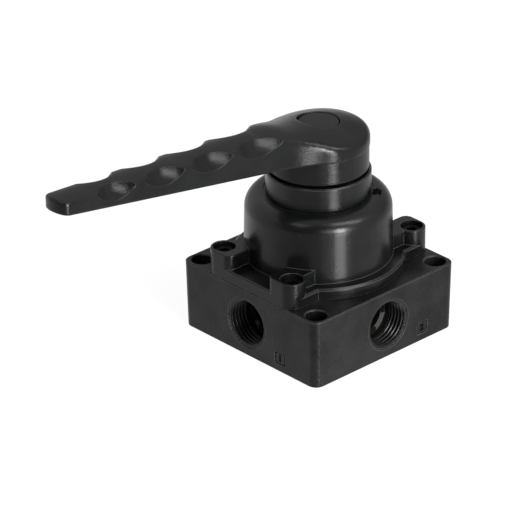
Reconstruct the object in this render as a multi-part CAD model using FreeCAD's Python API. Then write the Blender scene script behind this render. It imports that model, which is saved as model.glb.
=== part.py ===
import FreeCAD
import Part

import math
import os

# Hand lever rotary air valve, four ports and three positions, in millimetres.
# The origin is the centre of the body's bottom face, +Z runs up the spindle axis,
# and the lever points along -Y in its middle position.

os.makedirs("parts", exist_ok=True)

# Valve body
BODY_SIDE = 80.0
BODY_HEIGHT = 30.0
BODY_DRAFT = 0.5
BODY_CORNER_RADIUS = 4.0
BODY_EDGE_BREAK = 0.4
MOUNT_HOLE_INSET = 6.0
MOUNT_HOLE_RADIUS = 4.5

# Ports, G 1/2 thread: bore at the thread's major radius
PORT_RADIUS = 10.48
PORT_DEPTH = 15.0
PORT_AXIS_HEIGHT = 14.3
PORT_OFFSET = 1.4
PORT_SINK_RADIUS = 11.2
PORT_SINK_DEPTH = 1.0
PORT_RIM_CHAMFER = 0.5
FEED_RADIUS = 7.0
PASSAGE_RADIUS = 4.5
PASSAGE_CIRCLE_RADIUS = 13.0

# Shallow pads beside the ports for their numbers
PAD_FROM_PORT = 19.8
PAD_WIDTH = 6.1
PAD_BOTTOM = 3.0
PAD_TOP = 8.6
PAD_DEPTH = 0.3
PAD_CORNER_RADIUS = 0.5

# Bonnet
FLANGE_THICKNESS = 5.0
FLANGE_CHAMFER = 0.8
FLANGE_RADIUS = 35.8
FLANGE_SHOULDER_X = 25.8
DOME_RADIUS = 30.3
DOME_FOOT_RADIUS = 31.0
DOME_HEIGHT = 32.7
DOME_SHOULDER_RADIUS = 7.0
BONNET_WALL = 4.3
ROOF_THICKNESS = 6.7
CAVITY_CORNER_RADIUS = 4.0
JOINT_LINE_CHAMFER = 0.3

# Screw bosses on the bonnet
BOSS_X = 20.0
BOSS_RADIUS = 5.8
BOSS_HEIGHT = 11.3
BOSS_EDGE_FILLET = 0.5
BOSS_INNER_FACE_X = 11.0
BOSS_INNER_CORNER_RADIUS = 3.5
WEB_OUTER_FACE_X = 21.2

# Bonnet screws, M5 socket head, and their spring washers
SCREW_RADIUS = 2.45
SCREW_HOLE_RADIUS = 2.75
SCREW_HEAD_RADIUS = 4.25
SCREW_HEAD_HEIGHT = 5.0
SCREW_LENGTH = 16.0
SCREW_SOCKET_FLATS = 4.0
SCREW_SOCKET_DEPTH = 2.6
SCREW_SEAT_HEIGHT = 3.4
COUNTERBORE_RADIUS = 4.8
SPRING_WASHER_RADIUS = 4.4
SPRING_WASHER_THICKNESS = 1.2
SPRING_WASHER_SLIT = 0.8
TAPPED_HOLE_SPARE = 3.0

# Bonnet O-ring
SEAL_CORD_RADIUS = 0.9
SEAL_CIRCLE_RADIUS = 28.4
SEAL_SIDE_CLEARANCE = 0.2

# Spindle
SPINDLE_RADIUS = 8.0
SPINDLE_LOWER_RADIUS = 7.0
SPINDLE_FLANGE_RADIUS = 14.0
SPINDLE_FLANGE_THICKNESS = 2.0
TANG_WIDTH = 8.0
TANG_LENGTH = 20.0
TANG_DEPTH = 4.5
SQUARE_SIDE = 11.0
SQUARE_HEIGHT = 8.8
SPINDLE_TAP_DEPTH = 14.0
SEAL_GROOVE_WIDTH = 2.3
SEAL_GROOVE_DEPTH = 1.45
SEAL_GROOVE_ABOVE_ROOF = 1.2
SPINDLE_SEAL_CORD_RADIUS = 0.72

# Bush, thrust washer and circlip
BUSH_WALL = 2.0
BUSH_ABOVE_ROOF = 4.0
THRUST_WASHER_RADIUS = 13.0
THRUST_WASHER_THICKNESS = 1.45
CIRCLIP_THICKNESS = 1.2
CIRCLIP_RADIUS = 10.2
CIRCLIP_GROOVE_DEPTH = 0.7
CIRCLIP_GAP_ANGLE = 50.0

# Neck collar
NECK_WALL = 2.45
NECK_HEIGHT = 8.3
COLLAR_RADIUS = 21.8
COLLAR_HEIGHT = 10.3
COLLAR_CHAMFER = 0.5
COLLAR_RECESS_RADIUS = 22.9
COLLAR_RECESS_DEPTH = 0.5

# Detents and stop
DETENT_CIRCLE_RADIUS = 16.2
DETENT_BALL_RADIUS = 3.0
DETENT_NOTCH_DEPTH = 1.1
DETENT_NOTCH_CLEARANCE = 0.2
DETENT_BORE_DEPTH = 10.9
DETENT_SPRING_WIRE_RADIUS = 0.4
DETENT_SPRING_RADIUS = 2.2
DETENT_SPRING_TURNS = 4
LEVER_SWING = 45.0
STOP_PIN_RADIUS = 1.5
STOP_PIN_DEPTH = 7.0
STOP_SLOT_DEPTH = 3.6
STOP_CLEARANCE = 0.25

# Rotor disc and its spring
ROTOR_RADIUS = 24.0
ROTOR_THICKNESS = 11.0
POCKET_DEPTH = 5.0
POCKET_HALF_ANGLE = 45.0
SPRING_SEAT_DEPTH = 1.0
SPRING_SEAT_RADIUS = 11.6
ROTOR_SPRING_RADIUS = 9.3
ROTOR_SPRING_WIRE_RADIUS = 0.9
ROTOR_SPRING_TURNS = 4

# Lever hub
HUB_GAP = 1.1
SKIRT_RADIUS = 20.85
SKIRT_HEIGHT = 10.2
SKIRT_CHAMFER = 0.4
HUB_RADIUS = 21.15
HUB_CROWN_HEIGHT = 10.1
HUB_CROWN_RADIUS = 50.0
HUB_CROSS_RADIUS = 42.0
HUB_RIM_FILLET = 3.8

# Lever arm
ARM_HALF_WIDTH_AT_AXIS = 10.25
ARM_TAPER = 0.0267
ARM_LENGTH = 141.3
ARM_END_BULGE = 2.1
ARM_TIP_CORNER_RADIUS = 3.2
ARM_FLARE_RADIUS = 45.0
ARM_UNDERSIDE_SLOPE = 0.157
ARM_UNDERSIDE_BLEND_RADIUS = 140.0
ARM_UNDERSIDE_KNEE = 28.0
ARM_EDGE_FILLET = 1.2
RIDGE_SLOPE = 0.072
RIDGE_CROSS_RADIUS = 27.0
RIDGE_HEIGHT_AT_AXIS = 13.2

# Crown of the lever, which runs from the hub's dome into the ridge of the arm
CROWN_BLEND_START = -9.0
CROWN_BLEND_END = 28.0
CROSS_BLEND_END = 36.0
CROWN_REACH_BEHIND = 24.0
CROWN_SECTION_STEP = 7.0
CROWN_SECTION_COUNT = 11
CROWN_HALF_WIDTH = 24.0
CROWN_STEEPEST = 0.8

# Finger scallops, the first one beside the hub
SCALLOP_COUNT = 4
SCALLOP_FIRST = 40.4
SCALLOP_PITCH = 24.5
SCALLOP_DEPTH = 4.6
SCALLOP_HALF_LENGTH = 12.2
SCALLOP_SHRINK = 0.75

# Lever screw, M6 button head, its washer and the cap over it
LEVER_SCREW_RADIUS = 2.95
LEVER_SCREW_HEAD_RADIUS = 5.25
LEVER_SCREW_HEAD_HEIGHT = 3.3
LEVER_SCREW_LENGTH = 15.0
LEVER_SCREW_SOCKET_FLATS = 4.0
LEVER_SCREW_SOCKET_DEPTH = 2.0
LEVER_SCREW_HOLE_RADIUS = 3.3
LEVER_WASHER_RADIUS = 6.0
LEVER_WASHER_THICKNESS = 1.2
LEVER_FLOOR_THICKNESS = 2.5
SCREW_WELL_RADIUS = 6.6
CAP_RADIUS = 9.0
CAP_THICKNESS = 2.35
CAP_FOOT_HEIGHT = 0.9
CAP_GROOVE = 0.28
CAP_CHAMFER = 0.45
CAP_ABOVE_SCREW = 1.2

# Clearances, and how far a cut runs past what it opens
RUNNING_CLEARANCE = 0.05
FIT_CLEARANCE = 0.02
SLOT_CLEARANCE = 0.1
CUT_OVERRUN = 20.0

# Heights above the bottom face, worked out from the sizes above
ROTOR_BOTTOM = BODY_HEIGHT + RUNNING_CLEARANCE
ROTOR_TOP = ROTOR_BOTTOM + ROTOR_THICKNESS
FLANGE_TOP = BODY_HEIGHT + FLANGE_THICKNESS
DOME_TOP = BODY_HEIGHT + DOME_HEIGHT
ROOF_UNDERSIDE = DOME_TOP - ROOF_THICKNESS
CAVITY_RADIUS = DOME_RADIUS - BONNET_WALL
BUSH_BOTTOM = ROOF_UNDERSIDE + BUSH_ABOVE_ROOF
NECK_TOP = DOME_TOP + NECK_HEIGHT
BUSH_RADIUS = SPINDLE_RADIUS + RUNNING_CLEARANCE + BUSH_WALL
NECK_RADIUS = BUSH_RADIUS + NECK_WALL
COLLAR_BOTTOM = DOME_TOP - COLLAR_RECESS_DEPTH
COLLAR_TOP = COLLAR_BOTTOM + COLLAR_HEIGHT + COLLAR_RECESS_DEPTH
HUB_BOTTOM = COLLAR_TOP + HUB_GAP
SHOULDER_HEIGHT = HUB_BOTTOM + SKIRT_HEIGHT
SPINDLE_FLANGE_TOP = ROOF_UNDERSIDE - RUNNING_CLEARANCE - THRUST_WASHER_THICKNESS
SPINDLE_FLANGE_BOTTOM = SPINDLE_FLANGE_TOP - SPINDLE_FLANGE_THICKNESS
SQUARE_TOP = HUB_BOTTOM + SQUARE_HEIGHT
WELL_FLOOR = SQUARE_TOP + FIT_CLEARANCE + LEVER_FLOOR_THICKNESS
LEVER_SCREW_HEAD_TOP = WELL_FLOOR + LEVER_WASHER_THICKNESS + LEVER_SCREW_HEAD_HEIGHT
CAP_SEAT = LEVER_SCREW_HEAD_TOP + CAP_ABOVE_SCREW
SCREW_SEAT = BODY_HEIGHT + SCREW_SEAT_HEIGHT
SCREW_HEAD_SEAT = SCREW_SEAT + SPRING_WASHER_THICKNESS
BOSS_TOP = BODY_HEIGHT + BOSS_HEIGHT
BOSS_Y = BODY_SIDE / 2 - BOSS_RADIUS
DETENT_CENTRE = COLLAR_TOP + RUNNING_CLEARANCE + DETENT_BALL_RADIUS
HUB_CROWN_TOP = SHOULDER_HEIGHT + HUB_CROWN_HEIGHT
CASTING_BOTTOM = SHOULDER_HEIGHT - SKIRT_HEIGHT / 2
UP = FreeCAD.Vector(0, 0, 1)
ORIGIN = FreeCAD.Vector(0, 0, 0)


def point(x, y, z=0.0):
    return FreeCAD.Vector(x, y, z)


def cylinder(radius, bottom, top, x=0.0, y=0.0):
    return Part.makeCylinder(radius, top - bottom, point(x, y, bottom))


def ring(outer, inner, bottom, top, x=0.0, y=0.0):
    return cylinder(outer, bottom, top, x, y).cut(cylinder(inner, bottom, top, x, y))


def block(low_x, high_x, low_y, high_y, bottom, top):
    return Part.makeBox(high_x - low_x, high_y - low_y, top - bottom, point(low_x, low_y, bottom))


def line(start, end):
    return Part.LineSegment(start, end).toShape()


def arc(start, middle, end):
    return Part.Arc(start, middle, end).toShape()


def edges_at(shape, height):
    """Edges of a shape that lie wholly in one level."""
    return [
        edge
        for edge in shape.Edges
        if abs(edge.BoundBox.ZMin - height) < 1e-4 and abs(edge.BoundBox.ZMax - height) < 1e-4
    ]


def polar(radius, degrees, height=0.0):
    angle = math.radians(degrees)
    return point(radius * math.cos(angle), radius * math.sin(angle), height)


def four_corners(x, y):
    """The same place in each quarter of the plan."""
    return [(side * x, end * y) for side in (-1, 1) for end in (-1, 1)]


def coil(mean_radius, wire_radius, bottom, top, turns, x=0.0, y=0.0):
    """Compression spring whose wire stays between two levels."""
    rise = top - bottom - 2 * wire_radius
    pitch = rise / turns
    helix = Part.makeHelix(pitch, rise, mean_radius)
    along_wire = point(0, 2 * math.pi * mean_radius, pitch)
    start = Part.Wire(Part.makeCircle(wire_radius, point(mean_radius, 0, 0), along_wire))
    wire = Part.Wire(helix).makePipeShell([start], True, True)
    wire.translate(point(x, y, bottom + wire_radius))
    return wire


def save(node, shape):
    shape.exportStep(f"parts/{node}.step")


# Valve body

def drafted_block():
    """Square block, a little smaller at the bottom, with rounded upright edges."""
    top = BODY_SIDE / 2
    low = top - BODY_DRAFT
    shape = Part.makeWedge(-low, 0, -low, -top, -top, low, BODY_HEIGHT, low, top, top)
    shape.rotate(ORIGIN, point(1, 0, 0), 90)
    upright = [edge for edge in shape.Edges if edge.BoundBox.ZLength > BODY_HEIGHT / 2]
    shape = shape.makeFillet(BODY_CORNER_RADIUS, upright)
    return shape.makeChamfer(BODY_EDGE_BREAK, edges_at(shape, BODY_HEIGHT))


def port_cutter():
    """Threaded bore, feed bore and passage of the port on the -Y face."""
    face = BODY_SIDE / 2
    inward = point(0, 1, 0)
    mouth = point(-PORT_OFFSET, -face, PORT_AXIS_HEIGHT)
    bore = Part.makeCylinder(PORT_RADIUS, PORT_DEPTH, mouth, inward)
    sink = Part.makeCylinder(PORT_SINK_RADIUS, PORT_SINK_DEPTH, mouth, inward)
    rim_radius = PORT_SINK_RADIUS + PORT_RIM_CHAMFER
    rim = Part.makeCone(rim_radius, PORT_SINK_RADIUS, PORT_RIM_CHAMFER, mouth, inward)
    feed = Part.makeCylinder(FEED_RADIUS, face - PASSAGE_CIRCLE_RADIUS, mouth, inward)
    passage = cylinder(PASSAGE_RADIUS, PORT_AXIS_HEIGHT, BODY_HEIGHT, 0, -PASSAGE_CIRCLE_RADIUS)
    return bore.fuse([sink, rim, feed, passage])


def port_cutters():
    """The two ports of each axis share one line, both lines off centre by the same offset."""
    near = port_cutter()
    turned = near.copy()
    turned.rotate(ORIGIN, UP, 90)
    side = turned.mirror(ORIGIN, point(0, 1, 0))
    return [near, side, near.mirror(ORIGIN, point(0, 1, 0)), side.mirror(ORIGIN, point(1, 0, 0))]


def number_pads():
    """Cutters of the pads, each to the right of its port for someone who looks at that face."""
    floor = BODY_SIDE / 2 - BODY_DRAFT - PAD_DEPTH
    pads = []
    for quarter, side in enumerate((-1, 1, 1, -1)):
        middle = side * PORT_OFFSET + PAD_FROM_PORT
        low, high = middle - PAD_WIDTH / 2, middle + PAD_WIDTH / 2
        pad = block(low, high, -BODY_SIDE / 2, -floor, PAD_BOTTOM, PAD_TOP)
        corners = [edge for edge in pad.Edges if edge.BoundBox.XLength + edge.BoundBox.ZLength < 1e-4]
        pad = pad.makeFillet(PAD_CORNER_RADIUS, corners)
        pad.rotate(ORIGIN, UP, 90 * quarter)
        pads.append(pad)
    return pads


def valve_body():
    tools = port_cutters() + number_pads()
    reach = BODY_SIDE / 2 - MOUNT_HOLE_INSET
    for x, y in four_corners(reach, reach):
        tools.append(cylinder(MOUNT_HOLE_RADIUS, 0, BODY_HEIGHT, x, y))
        lip = point(x, y, BODY_HEIGHT - BODY_EDGE_BREAK)
        lip_radius = MOUNT_HOLE_RADIUS + BODY_EDGE_BREAK
        tools.append(Part.makeCone(MOUNT_HOLE_RADIUS, lip_radius, BODY_EDGE_BREAK, lip))
    screw_end = SCREW_HEAD_SEAT - SCREW_LENGTH - TAPPED_HOLE_SPARE
    for x, y in four_corners(BOSS_X, BOSS_Y):
        tools.append(cylinder(SCREW_RADIUS + RUNNING_CLEARANCE, screw_end, BODY_HEIGHT, x, y))
    return drafted_block().cut(tools)


# Bonnet

def flange_prism():
    """Flange that is flush with the body's front and back and follows the dome at its sides."""
    half_y = BODY_SIDE / 2
    low, high = BODY_HEIGHT, FLANGE_TOP
    disc = cylinder(FLANGE_RADIUS, low, high)
    bar = block(-FLANGE_SHOULDER_X, FLANGE_SHOULDER_X, -BOSS_Y, BOSS_Y, low, high)
    middle = block(-BOSS_X, BOSS_X, -half_y, half_y, low, high)
    corners = [cylinder(BOSS_RADIUS, low, high, x, y) for x, y in four_corners(BOSS_X, BOSS_Y)]
    return disc.fuse([bar, middle] + corners).removeSplitter()


def boss_prism():
    """Boss of the +X, -Y screw with its web, up to the dome."""
    half_y = BODY_SIDE / 2
    low, high = BODY_HEIGHT, BOSS_TOP
    web = block(BOSS_INNER_FACE_X, WEB_OUTER_FACE_X, -BOSS_Y, -CAVITY_RADIUS * 0.5, low, high)
    front = block(BOSS_INNER_FACE_X, BOSS_X, -half_y, -BOSS_Y, low, high)
    shape = web.fuse([front, cylinder(BOSS_RADIUS, low, high, BOSS_X, -BOSS_Y)]).removeSplitter()
    corner = [
        edge
        for edge in shape.Edges
        if abs(edge.BoundBox.XMax - BOSS_INNER_FACE_X) < 1e-4
        and abs(edge.BoundBox.YMax + half_y) < 1e-4
        and edge.BoundBox.ZLength > 1
    ]
    shape = shape.makeFillet(BOSS_INNER_CORNER_RADIUS, corner)
    return shape.makeFillet(BOSS_EDGE_FILLET, edges_at(shape, high))


def bonnet():
    base = flange_prism()
    base = base.makeChamfer(FLANGE_CHAMFER, edges_at(base, FLANGE_TOP))
    base = base.makeChamfer(JOINT_LINE_CHAMFER, edges_at(base, BODY_HEIGHT))
    dome_foot = BODY_HEIGHT + JOINT_LINE_CHAMFER
    dome = Part.makeCone(DOME_FOOT_RADIUS, DOME_RADIUS, DOME_TOP - dome_foot, point(0, 0, dome_foot))
    dome = dome.makeFillet(DOME_SHOULDER_RADIUS, edges_at(dome, DOME_TOP))
    boss = boss_prism()
    boss = boss.makeChamfer(JOINT_LINE_CHAMFER, edges_at(boss, BODY_HEIGHT))
    bosses = [boss]
    bosses.append(boss.mirror(ORIGIN, point(1, 0, 0)))
    bosses += [shape.mirror(ORIGIN, point(0, 1, 0)) for shape in bosses]
    neck = cylinder(NECK_RADIUS, ROOF_UNDERSIDE, NECK_TOP)
    shape = base.fuse([dome, neck] + bosses).removeSplitter()
    cavity = cylinder(CAVITY_RADIUS, BODY_HEIGHT, ROOF_UNDERSIDE)
    cavity = cavity.makeFillet(CAVITY_CORNER_RADIUS, edges_at(cavity, ROOF_UNDERSIDE))
    groove_half = SEAL_CORD_RADIUS + SEAL_SIDE_CLEARANCE
    groove_top = BODY_HEIGHT + 2 * SEAL_CORD_RADIUS
    groove = ring(
        SEAL_CIRCLE_RADIUS + groove_half, SEAL_CIRCLE_RADIUS - groove_half, BODY_HEIGHT, groove_top
    )
    recess = ring(COLLAR_RECESS_RADIUS, NECK_RADIUS, COLLAR_BOTTOM, DOME_TOP)
    tools = [
        cavity,
        groove,
        recess,
        cylinder(SPINDLE_RADIUS + RUNNING_CLEARANCE, ROOF_UNDERSIDE, BUSH_BOTTOM),
        cylinder(BUSH_RADIUS + FIT_CLEARANCE, BUSH_BOTTOM, NECK_TOP),
    ]
    for x, y in four_corners(BOSS_X, BOSS_Y):
        tools.append(cylinder(SCREW_HOLE_RADIUS, BODY_HEIGHT, SCREW_SEAT, x, y))
        tools.append(cylinder(COUNTERBORE_RADIUS, SCREW_SEAT, BOSS_TOP, x, y))
    return shape.cut(tools)


def bonnet_o_ring():
    return Part.makeTorus(SEAL_CIRCLE_RADIUS, SEAL_CORD_RADIUS, point(0, 0, BODY_HEIGHT + SEAL_CORD_RADIUS))


def hexagon(across_flats, bottom, top, x=0.0, y=0.0):
    radius = across_flats / math.sqrt(3)
    corners = [polar(radius, 60 * side, bottom) + point(x, y) for side in range(7)]
    return Part.Face(Part.makePolygon(corners)).extrude(point(0, 0, top - bottom))


def bonnet_screw(x, y):
    head_top = SCREW_HEAD_SEAT + SCREW_HEAD_HEIGHT
    head = cylinder(SCREW_HEAD_RADIUS, SCREW_HEAD_SEAT, head_top, x, y)
    head = head.makeChamfer(0.4, edges_at(head, head_top))
    shank = cylinder(SCREW_RADIUS, SCREW_HEAD_SEAT - SCREW_LENGTH, SCREW_HEAD_SEAT, x, y)
    socket = hexagon(SCREW_SOCKET_FLATS, head_top - SCREW_SOCKET_DEPTH, head_top, x, y)
    return head.fuse(shank).cut(socket)


def spring_washer(x, y):
    washer = ring(SPRING_WASHER_RADIUS, SCREW_HOLE_RADIUS, SCREW_SEAT, SCREW_HEAD_SEAT, x, y)
    half_slit = SPRING_WASHER_SLIT / 2
    slit = block(
        x, x + SPRING_WASHER_RADIUS, y - half_slit, y + half_slit, SCREW_SEAT, SCREW_HEAD_SEAT
    )
    return washer.cut(slit)


# Rotor disc and its spring

def kidney(middle_angle):
    """Pocket in the disc's face, wide enough to join two neighbouring passages when turned."""
    radius = PASSAGE_CIRCLE_RADIUS
    bottom, top = ROTOR_BOTTOM, ROTOR_BOTTOM + POCKET_DEPTH
    band = ring(radius + PASSAGE_RADIUS, radius - PASSAGE_RADIUS, bottom, top)
    wedge = Part.makeCylinder(
        radius + 2 * PASSAGE_RADIUS, top - bottom, point(0, 0, bottom), UP, 2 * POCKET_HALF_ANGLE
    )
    wedge.rotate(ORIGIN, UP, middle_angle - POCKET_HALF_ANGLE)
    ends = []
    for side in (-1, 1):
        end = polar(radius, middle_angle + side * POCKET_HALF_ANGLE, bottom)
        ends.append(cylinder(PASSAGE_RADIUS, bottom, top, end.x, end.y))
    return band.common(wedge).fuse(ends)


def rotor_disc():
    disc = cylinder(ROTOR_RADIUS, ROTOR_BOTTOM, ROTOR_TOP)
    disc = disc.makeChamfer(1.0, edges_at(disc, ROTOR_TOP))
    half_width = TANG_WIDTH / 2 + SLOT_CLEARANCE
    half_length = TANG_LENGTH / 2 + SLOT_CLEARANCE
    slot_floor = ROTOR_TOP - TANG_DEPTH - SLOT_CLEARANCE
    slot = block(-half_length, half_length, -half_width, half_width, slot_floor, ROTOR_TOP)
    seat = cylinder(SPRING_SEAT_RADIUS, ROTOR_TOP - SPRING_SEAT_DEPTH, ROTOR_TOP)
    return disc.cut([kidney(0), kidney(180), slot, seat])


def rotor_spring():
    bottom = ROTOR_TOP - SPRING_SEAT_DEPTH
    return coil(
        ROTOR_SPRING_RADIUS, ROTOR_SPRING_WIRE_RADIUS, bottom, SPINDLE_FLANGE_BOTTOM, ROTOR_SPRING_TURNS
    )


# Spindle and what runs on it

def spindle_seal_height():
    return ROOF_UNDERSIDE + SEAL_GROOVE_ABOVE_ROOF + SEAL_GROOVE_WIDTH / 2


def spindle():
    half_square = SQUARE_SIDE / 2
    half_tang = TANG_WIDTH / 2
    tang_top = ROTOR_TOP - SPRING_SEAT_DEPTH
    tang = block(
        -TANG_LENGTH / 2, TANG_LENGTH / 2, -half_tang, half_tang, ROTOR_TOP - TANG_DEPTH, tang_top
    )
    lower = cylinder(SPINDLE_LOWER_RADIUS, tang_top, SPINDLE_FLANGE_BOTTOM)
    flange = cylinder(SPINDLE_FLANGE_RADIUS, SPINDLE_FLANGE_BOTTOM, SPINDLE_FLANGE_TOP)
    journal = cylinder(SPINDLE_RADIUS, SPINDLE_FLANGE_TOP, HUB_BOTTOM)
    square = block(-half_square, half_square, -half_square, half_square, HUB_BOTTOM, SQUARE_TOP)
    groove_middle = spindle_seal_height()
    seal_groove = ring(
        SPINDLE_RADIUS,
        SPINDLE_RADIUS - SEAL_GROOVE_DEPTH,
        groove_middle - SEAL_GROOVE_WIDTH / 2,
        groove_middle + SEAL_GROOVE_WIDTH / 2,
    )
    clip_bottom = NECK_TOP + RUNNING_CLEARANCE
    clip_groove = ring(
        SPINDLE_RADIUS, SPINDLE_RADIUS - CIRCLIP_GROOVE_DEPTH, clip_bottom, clip_bottom + CIRCLIP_THICKNESS
    )
    tapped = cylinder(LEVER_SCREW_RADIUS + RUNNING_CLEARANCE, SQUARE_TOP - SPINDLE_TAP_DEPTH, SQUARE_TOP)
    return tang.fuse([lower, flange, journal, square]).cut([seal_groove, clip_groove, tapped])


def spindle_o_ring():
    outer = SPINDLE_RADIUS + RUNNING_CLEARANCE - FIT_CLEARANCE
    major = outer - SPINDLE_SEAL_CORD_RADIUS
    return Part.makeTorus(major, SPINDLE_SEAL_CORD_RADIUS, point(0, 0, spindle_seal_height()))


def spindle_bush():
    return ring(BUSH_RADIUS, SPINDLE_RADIUS + RUNNING_CLEARANCE, BUSH_BOTTOM, NECK_TOP)


def thrust_washer():
    top = SPINDLE_FLANGE_TOP + THRUST_WASHER_THICKNESS
    return ring(THRUST_WASHER_RADIUS, SPINDLE_RADIUS + FIT_CLEARANCE, SPINDLE_FLANGE_TOP, top)


def spindle_circlip():
    bottom = NECK_TOP + RUNNING_CLEARANCE
    top = bottom + CIRCLIP_THICKNESS
    inner = SPINDLE_RADIUS - CIRCLIP_GROOVE_DEPTH + FIT_CLEARANCE
    clip = ring(CIRCLIP_RADIUS, inner, bottom, top)
    gap = Part.makeCylinder(CIRCLIP_RADIUS + 1, top - bottom, point(0, 0, bottom), UP, CIRCLIP_GAP_ANGLE)
    gap.rotate(ORIGIN, UP, -90 - CIRCLIP_GAP_ANGLE / 2)
    return clip.cut(gap)


# Collar with the detent notches and the stop pin

def neck_collar():
    collar = ring(COLLAR_RADIUS, NECK_RADIUS + FIT_CLEARANCE, COLLAR_BOTTOM, COLLAR_TOP)
    rim = [edge for edge in edges_at(collar, COLLAR_TOP) if edge.BoundBox.XMax > NECK_RADIUS + 1]
    collar = collar.makeChamfer(COLLAR_CHAMFER, rim)
    notch_radius = DETENT_BALL_RADIUS + DETENT_NOTCH_CLEARANCE
    notch_height = COLLAR_TOP - DETENT_NOTCH_DEPTH + notch_radius
    tools = []
    for ball_angle in (0, 180):
        for turn in (-LEVER_SWING, 0, LEVER_SWING):
            notch = polar(DETENT_CIRCLE_RADIUS, ball_angle + turn, notch_height)
            tools.append(Part.makeSphere(notch_radius, notch))
    pin = polar(DETENT_CIRCLE_RADIUS, 90)
    pin_floor = COLLAR_TOP - STOP_PIN_DEPTH
    tools.append(cylinder(STOP_PIN_RADIUS + FIT_CLEARANCE, pin_floor, COLLAR_TOP, pin.x, pin.y))
    return collar.cut(tools)


def stop_pin():
    place = polar(DETENT_CIRCLE_RADIUS, 90)
    top = HUB_BOTTOM + STOP_SLOT_DEPTH - STOP_CLEARANCE
    pin = cylinder(STOP_PIN_RADIUS, COLLAR_TOP - STOP_PIN_DEPTH, top, place.x, place.y)
    return pin.makeChamfer(0.3, edges_at(pin, top))


def detent_ball(angle):
    return Part.makeSphere(DETENT_BALL_RADIUS, polar(DETENT_CIRCLE_RADIUS, angle, DETENT_CENTRE))


def detent_spring(angle):
    place = polar(DETENT_CIRCLE_RADIUS, angle)
    reach = DETENT_BALL_RADIUS + DETENT_SPRING_WIRE_RADIUS + FIT_CLEARANCE
    lowest_wire = DETENT_CENTRE + math.sqrt(reach**2 - DETENT_SPRING_RADIUS**2)
    bottom = lowest_wire - DETENT_SPRING_WIRE_RADIUS
    return coil(
        DETENT_SPRING_RADIUS,
        DETENT_SPRING_WIRE_RADIUS,
        bottom,
        HUB_BOTTOM + DETENT_BORE_DEPTH,
        DETENT_SPRING_TURNS,
        place.x,
        place.y,
    )


# Lever

def arm_half_width(distance):
    return ARM_HALF_WIDTH_AT_AXIS - ARM_TAPER * distance


def flare_points():
    """Ends and middle of the hollow curve that joins the round hub to the arm's +X wall."""
    slant = math.hypot(1, ARM_TAPER)
    wall_normal = point(1 / slant, -ARM_TAPER / slant)
    along_wall = point(-ARM_TAPER / slant, -1 / slant)
    wall_offset = ARM_HALF_WIDTH_AT_AXIS / slant
    reach = HUB_RADIUS + ARM_FLARE_RADIUS
    side = wall_offset + ARM_FLARE_RADIUS
    centre = wall_normal * side + along_wall * math.sqrt(reach**2 - side**2)
    on_hub = centre * (HUB_RADIUS / reach)
    on_arm = centre - wall_normal * ARM_FLARE_RADIUS
    toward = (on_hub - centre) + (on_arm - centre)
    between = centre + toward * (ARM_FLARE_RADIUS / toward.Length)
    return on_hub, between, on_arm


def crossed(place):
    """The same place on the other side of the lever."""
    return point(-place.x, place.y, place.z)


def upright(edges):
    """Solid with upright walls over a closed plan, from the casting's bottom to above its top."""
    outline = Part.Wire(edges)
    outline.translate(point(0, 0, CASTING_BOTTOM))
    return Part.Face(outline).extrude(point(0, 0, ARM_LENGTH / 2))


def ridge_height(distance):
    return SHOULDER_HEIGHT + RIDGE_HEIGHT_AT_AXIS + distance * RIDGE_SLOPE


def eased(distance, blend_end, hub_value, arm_value):
    """Value that passes smoothly from the hub's to the arm's along the lever."""
    share = (distance - CROWN_BLEND_START) / (blend_end - CROWN_BLEND_START)
    share = min(max(share, 0), 1)
    weight = share * share * (3 - 2 * share)
    return hub_value * (1 - weight) + arm_value * weight


def crown_section(distance):
    """Arched section of the crown across the lever; the arch tightens from hub to arm."""
    dome = HUB_CROWN_TOP - distance**2 / (2 * HUB_CROWN_RADIUS)
    crest = eased(distance, CROWN_BLEND_END, dome, ridge_height(distance))
    radius = eased(distance, CROSS_BLEND_END, HUB_CROSS_RADIUS, RIDGE_CROSS_RADIUS)
    half = min(CROWN_HALF_WIDTH, radius * CROWN_STEEPEST)
    side = crest - radius + math.sqrt(radius**2 - half**2)
    low = CASTING_BOTTOM - 1
    corner = point(half, -distance, side)
    foot = point(half, -distance, low)
    return Part.Wire([
        arc(crossed(corner), point(0, -distance, crest), corner),
        line(corner, foot),
        line(foot, crossed(foot)),
        line(crossed(foot), crossed(corner)),
    ])


def flare_edge(shape, side):
    """Top edge of the flare on one side, and the end at which it starts."""
    edges = [
        edge
        for edge in shape.Edges
        if edge.BoundBox.ZMin > SHOULDER_HEIGHT
        and edge.BoundBox.YLength > HUB_RADIUS / 2
        and side * edge.CenterOfMass.x > ARM_HALF_WIDTH_AT_AXIS / 2
    ]
    return edges[0], edges[0].firstVertex().Point.y


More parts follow.
